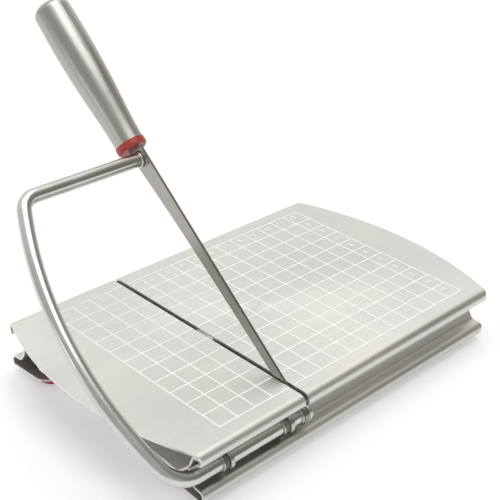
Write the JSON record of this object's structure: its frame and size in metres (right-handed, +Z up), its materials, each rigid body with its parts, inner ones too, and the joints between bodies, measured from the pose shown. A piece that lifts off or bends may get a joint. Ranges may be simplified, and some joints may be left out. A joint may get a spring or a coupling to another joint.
{
  "type": "cheese slicer",
  "caption": "Tabletop cheese slicer: formed steel board on rubber feet, with a hinged rod bow that carries a flat blade and a handle.",
  "frame": {"origin": "on the table, under the centre of the whole slicer with the bow half raised", "axes": "+X along the board, away from the bow's side arm; +Y from the hinge edge to the back edge; +Z up"},
  "size_m": [0.223, 0.1762, 0.1559],
  "materials": {
    "board_steel": "fine satin brushed stainless sheet",
    "strap_steel": "bare stamped stainless",
    "polished_rod": "bright drawn rod, lightly polished",
    "blade_steel": "lengthwise ground stainless",
    "handle_steel": "lengthwise brushed stainless tube",
    "red_plastic": "smooth red plastic",
    "red_rubber": "soft red rubber",
    "bush_plastic": "dark plain bearing plastic",
    "core_plastic": "moulded core, hidden"
  },
  "bodies": {
    "base": {"board_shell": "board_steel", "front_lip_rail": "board_steel", "back_lip_rail": "board_steel", "hinge_strap_left": "strap_steel", "hinge_strap_right": "strap_steel", "hinge_bush_left": "bush_plastic", "hinge_bush_right": "bush_plastic", "foot_front_left": "red_rubber", "foot_back_left": "red_rubber", "foot_front_right": "red_rubber", "foot_back_right": "red_rubber"},
    "bow": {"bow_rod": "polished_rod", "arm_ferrule": "polished_rod", "rod_end_cap": "polished_rod", "retaining_rings": "strap_steel", "blade": "blade_steel", "blade_spacer": "bush_plastic", "handle_shell": "handle_steel", "handle_core": "core_plastic", "tang_pin": "strap_steel", "handle_collar": "red_plastic"}
  },
  "joints": [
    {"name": "bow_swing", "type": "hinge", "parent": "base", "child": "bow", "pos_m": [-0.03046, -0.08373, 0.017], "axis": [1, 0, 0], "range_deg": [-37, 57]}
  ]
}
